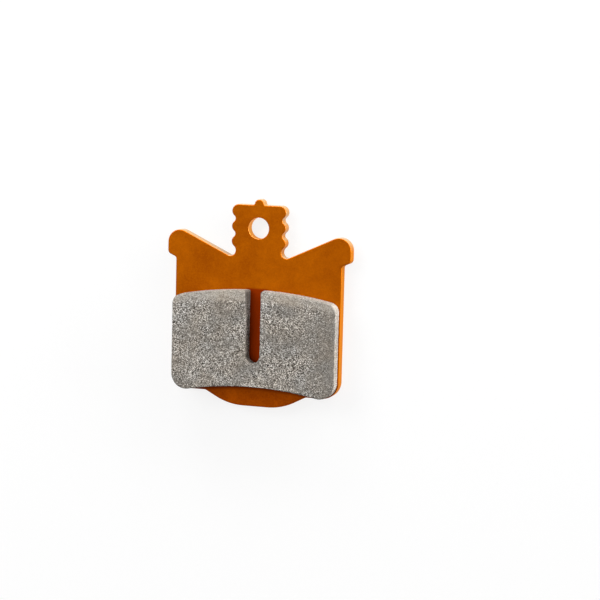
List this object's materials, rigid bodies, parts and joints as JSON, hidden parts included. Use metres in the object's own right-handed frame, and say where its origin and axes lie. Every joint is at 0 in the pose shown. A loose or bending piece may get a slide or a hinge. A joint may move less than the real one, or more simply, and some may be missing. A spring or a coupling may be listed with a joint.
{
  "type": "bicycle disc brake pad",
  "caption": "Disc brake pad: a slotted grey friction block bonded to an orange-coated steel plate with a hanging tab, pin hole, ribbed flanks, sloping eared wings and a lower lobe.",
  "frame": {"origin": "pin hole axis at the plate's back face", "axes": "+Z along the pin hole out of the friction face, +Y from the friction block to the hanging tab, +X to the right seen from the friction side"},
  "size_m": [0.0378, 0.0409, 0.0044],
  "materials": {
    "plate_coat": "satin orange coat on stamped steel",
    "friction_compound": "matt, speckled and granular"
  },
  "bodies": {
    "root": {"backing_plate": "plate_coat", "friction_pad": "friction_compound"}
  },
  "joints": []
}
